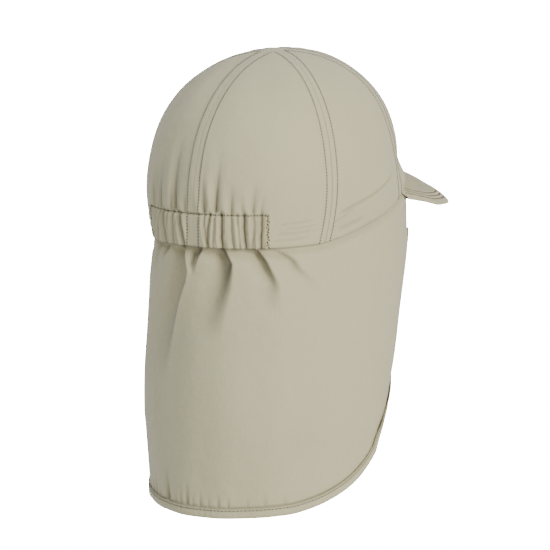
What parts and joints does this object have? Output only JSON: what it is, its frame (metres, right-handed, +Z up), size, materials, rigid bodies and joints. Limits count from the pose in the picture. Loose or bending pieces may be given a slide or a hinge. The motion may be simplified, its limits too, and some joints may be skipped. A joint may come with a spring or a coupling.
{
  "type": "sun cap with neck flap",
  "caption": "Soft panelled sun cap with an arched peak, an elastic gathered back and a long neck flap with a bound edge.",
  "frame": {"origin": "the middle of the head opening, at the height of the back of the rim, where a head holds the cap", "axes": "+Z up through the crown, -Y towards the peak, -X towards the wearer's right"},
  "size_m": [0.168, 0.2756, 0.3078],
  "materials": {
    "shell_cloth": "fine plain-woven nylon, matt with a soft sheen",
    "lining_cloth": "plain woven band, matt",
    "peak_cloth": "fine plain-woven nylon over a stiff insert",
    "flap_cloth": "fine plain-woven nylon, matt with a soft sheen",
    "binding_cloth": "folded self-cloth tape, stitched"
  },
  "bodies": {
    "root": {"crown_panel_back_right": "shell_cloth", "crown_panel_back_left": "shell_cloth", "crown_panel_side_right": "shell_cloth", "crown_panel_side_left": "shell_cloth", "crown_panel_front_right": "shell_cloth", "crown_panel_front_left": "shell_cloth", "sweatband": "lining_cloth", "peak": "peak_cloth", "neck_flap": "flap_cloth", "flap_binding": "binding_cloth"}
  },
  "joints": []
}
